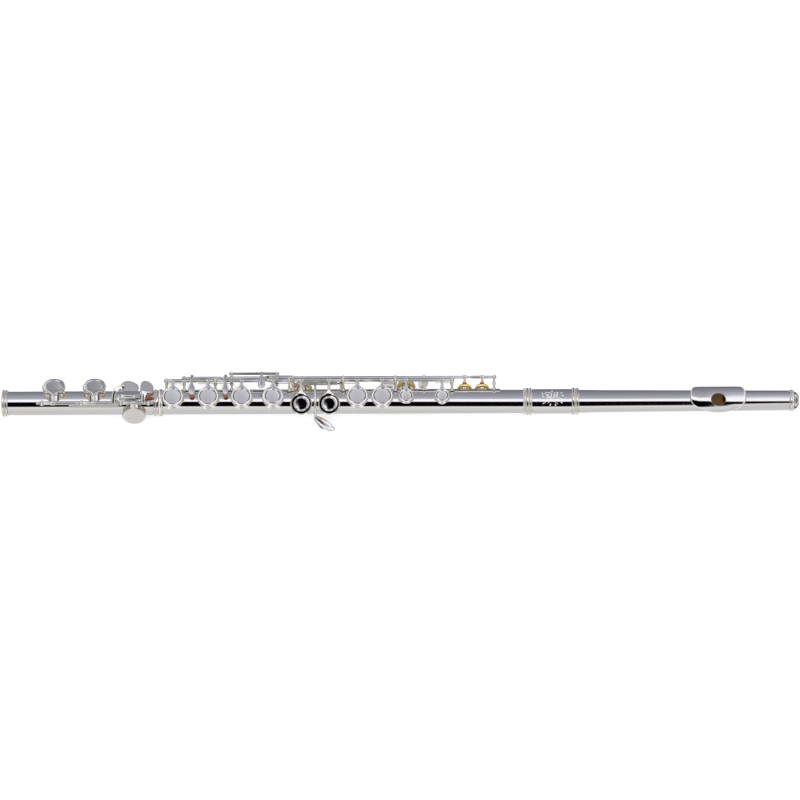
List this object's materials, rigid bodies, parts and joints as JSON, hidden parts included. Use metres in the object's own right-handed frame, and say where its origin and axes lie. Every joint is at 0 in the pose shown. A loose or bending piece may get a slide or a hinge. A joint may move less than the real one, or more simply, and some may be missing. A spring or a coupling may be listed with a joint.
{
  "type": "concert flute",
  "caption": "Transverse concert flute with C foot: cylindrical body and tapered head tube, padded closed-cup keys on side rods, offset G, trill and side levers, lip plate and stopper",
  "frame": {"origin": "centre of the open foot end on the bore axis", "axes": "+X along the bore from the foot end to the crown; +Z the way the main row of key cups faces; +Y the player's side, where the rods are"},
  "size_m": [0.674, 0.0496, 0.0423],
  "materials": {
    "silver": "silver-plated nickel silver, polished",
    "steel": "ground steel",
    "blued_steel": "blued needle-spring steel",
    "pad_skin": "felt pad under fish-skin membrane",
    "cork": "cork"
  },
  "bodies": {
    "body": {"body_tube": "silver", "barrel": "silver", "barrel_rings": "silver", "body_ribs": "silver", "body_posts": "silver", "back_steels": "steel", "body_pivot_screws": "steel", "body_springs": "blued_steel"},
    "head": {"head_tube": "silver", "embouchure_riser": "silver", "lip_plate": "silver"},
    "stopper": {"stopper_fittings": "silver", "stopper_cork": "cork"},
    "crown_cap": {"crown": "silver"},
    "foot": {"foot_tube": "silver", "foot_rings": "silver", "foot_socket": "silver", "foot_rib": "silver", "foot_posts": "silver", "foot_springs": "blued_steel"},
    "low_c": {"low_c_key": "silver", "low_c_pad": "pad_skin", "foot_steel": "steel"},
    "low_c_sharp": {"low_c_sharp_key": "silver", "low_c_sharp_pad": "pad_skin"},
    "low_d_sharp": {"d_sharp_key": "silver", "d_sharp_pad": "pad_skin", "d_sharp_bumper": "cork"},
    "roller": {"c_roller": "silver"},
    "d": {"d_key": "silver", "d_pad": "pad_skin"},
    "e": {"e_key": "silver", "e_pad": "pad_skin"},
    "f": {"f_key": "silver", "f_pad": "pad_skin"},
    "f_sharp": {"f_sharp_key": "silver", "f_sharp_pad": "pad_skin", "right_hand_steel": "steel"},
    "g": {"g_keys": "silver", "g_pads": "pad_skin"},
    "a": {"a_key": "silver", "a_pad": "pad_skin"},
    "a_sharp": {"a_sharp_key": "silver", "a_sharp_pad": "pad_skin", "left_hand_steel": "steel"},
    "index": {"index_key": "silver", "index_pad": "pad_skin"},
    "g_sharp": {"g_sharp_key": "silver", "g_sharp_pad": "pad_skin"},
    "thumb_b": {"thumb_b_key": "silver", "thumb_pad": "pad_skin"},
    "thumb_bflat": {"thumb_bflat_lever": "silver"},
    "d_trill": {"d_trill_key": "silver", "d_trill_pad": "pad_skin", "d_trill_bumper": "cork"},
    "d_sharp_trill": {"d_sharp_trill_key": "silver", "d_sharp_trill_pad": "pad_skin", "d_sharp_trill_bumper": "cork", "trill_steel": "steel"},
    "side_bflat": {"side_bflat_lever": "silver"}
  },
  "joints": [
    {"name": "head_joint_tuning", "type": "slide", "parent": "body", "child": "head", "axis": [1, 0, 0], "range_m": [0, 0.012]},
    {"name": "stopper_slide", "type": "slide", "parent": "head", "child": "stopper", "axis": [1, 0, 0], "range_m": [-0.0008, 0.0008]},
    {"name": "crown_turn", "type": "hinge", "parent": "head", "child": "crown_cap", "pos_m": [0.669, 0, 0], "axis": [1, 0, 0], "range_deg": [-360, 360]},
    {"name": "foot_joint_turn", "type": "hinge", "parent": "body", "child": "foot", "pos_m": [0.126, 0, 0], "axis": [1, 0, 0], "range_deg": [-20, 20]},
    {"name": "low_c_hinge", "type": "hinge", "parent": "foot", "child": "low_c", "pos_m": [0.08, -0.00497, 0.01855], "axis": [-1, 0, 0], "range_deg": [0, 8.5], "stiffness_Nm_per_rad": 0.02},
    {"name": "low_c_sharp_hinge", "type": "hinge", "parent": "foot", "child": "low_c_sharp", "pos_m": [0.083, -0.00497, 0.01855], "axis": [-1, 0, 0], "range_deg": [0, 8.5], "stiffness_Nm_per_rad": 0.02},
    {"name": "low_d_sharp_hinge", "type": "hinge", "parent": "foot", "child": "low_d_sharp", "pos_m": [0.113, -0.00497, 0.01855], "axis": [-1, 0, 0], "range_deg": [0, 12], "stiffness_Nm_per_rad": 0.02},
    {"name": "d_hinge", "type": "hinge", "parent": "body", "child": "d", "pos_m": [0.147, 0.016, 0.0115], "axis": [1, 0, 0], "range_deg": [0, 9], "stiffness_Nm_per_rad": 0.02},
    {"name": "e_hinge", "type": "hinge", "parent": "body", "child": "e", "pos_m": [0.169, 0.016, 0.0115], "axis": [1, 0, 0], "range_deg": [0, 9], "stiffness_Nm_per_rad": 0.02},
    {"name": "f_hinge", "type": "hinge", "parent": "body", "child": "f", "pos_m": [0.203, 0.016, 0.0115], "axis": [1, 0, 0], "range_deg": [0, 9], "stiffness_Nm_per_rad": 0.02},
    {"name": "f_sharp_hinge", "type": "hinge", "parent": "body", "child": "f_sharp", "pos_m": [0.232, 0.016, 0.0115], "axis": [1, 0, 0], "range_deg": [0, 9], "stiffness_Nm_per_rad": 0.02},
    {"name": "g_hinge", "type": "hinge", "parent": "body", "child": "g", "pos_m": [0.267, 0.016, 0.0115], "axis": [1, 0, 0], "range_deg": [0, 7.5], "stiffness_Nm_per_rad": 0.02},
    {"name": "a_hinge", "type": "hinge", "parent": "body", "child": "a", "pos_m": [0.3, 0.016, 0.0115], "axis": [1, 0, 0], "range_deg": [0, 9], "stiffness_Nm_per_rad": 0.02},
    {"name": "a_sharp_hinge", "type": "hinge", "parent": "body", "child": "a_sharp", "pos_m": [0.32, 0.016, 0.0115], "axis": [1, 0, 0], "range_deg": [0, 9], "stiffness_Nm_per_rad": 0.02},
    {"name": "index_hinge", "type": "hinge", "parent": "body", "child": "index", "pos_m": [0.356, 0.016, 0.0115], "axis": [1, 0, 0], "range_deg": [0, 9], "stiffness_Nm_per_rad": 0.02},
    {"name": "g_sharp_hinge", "type": "hinge", "parent": "body", "child": "g_sharp", "pos_m": [0.266, 0.01413, 0.00751], "axis": [1, 0, 0], "range_deg": [0, 9], "stiffness_Nm_per_rad": 0.02},
    {"name": "thumb_b_hinge", "type": "hinge", "parent": "body", "child": "thumb_b", "pos_m": [0.335, 0.00637, -0.01576], "axis": [1, 0, 0], "range_deg": [0, 10.5], "stiffness_Nm_per_rad": 0.02},
    {"name": "thumb_bflat_hinge", "type": "hinge", "parent": "body", "child": "thumb_bflat", "pos_m": [0.355, 0.00637, -0.01576], "axis": [1, 0, 0], "range_deg": [0, 10.5], "stiffness_Nm_per_rad": 0.02},
    {"name": "d_trill_hinge", "type": "hinge", "parent": "body", "child": "d_trill", "pos_m": [0.29, 0.01948, 0.00701], "axis": [1, 0, 0], "range_deg": [0, 8.5], "stiffness_Nm_per_rad": 0.02},
    {"name": "d_sharp_trill_hinge", "type": "hinge", "parent": "body", "child": "d_sharp_trill", "pos_m": [0.405, 0.01948, 0.00701], "axis": [1, 0, 0], "range_deg": [0, 8.5], "stiffness_Nm_per_rad": 0.02},
    {"name": "side_bflat_hinge", "type": "hinge", "parent": "body", "child": "side_bflat", "pos_m": [0.213, 0.02269, 0.00898], "axis": [1, 0, 0], "range_deg": [0, 5], "stiffness_Nm_per_rad": 0.02},
    {"name": "roller_spin", "type": "hinge", "parent": "low_c", "child": "roller", "pos_m": [0.108, -0.00002, 0.02146], "axis": [1, 0, 0], "continuous": true}
  ],
  "couplings": [
    {"joint": "f_sharp_hinge", "follows": "f_hinge", "ratio": 1},
    {"joint": "a_sharp_hinge", "follows": "f_hinge", "ratio": 1},
    {"joint": "crown_turn", "follows": "stopper_slide", "rad_per_m": 7850}
  ]
}
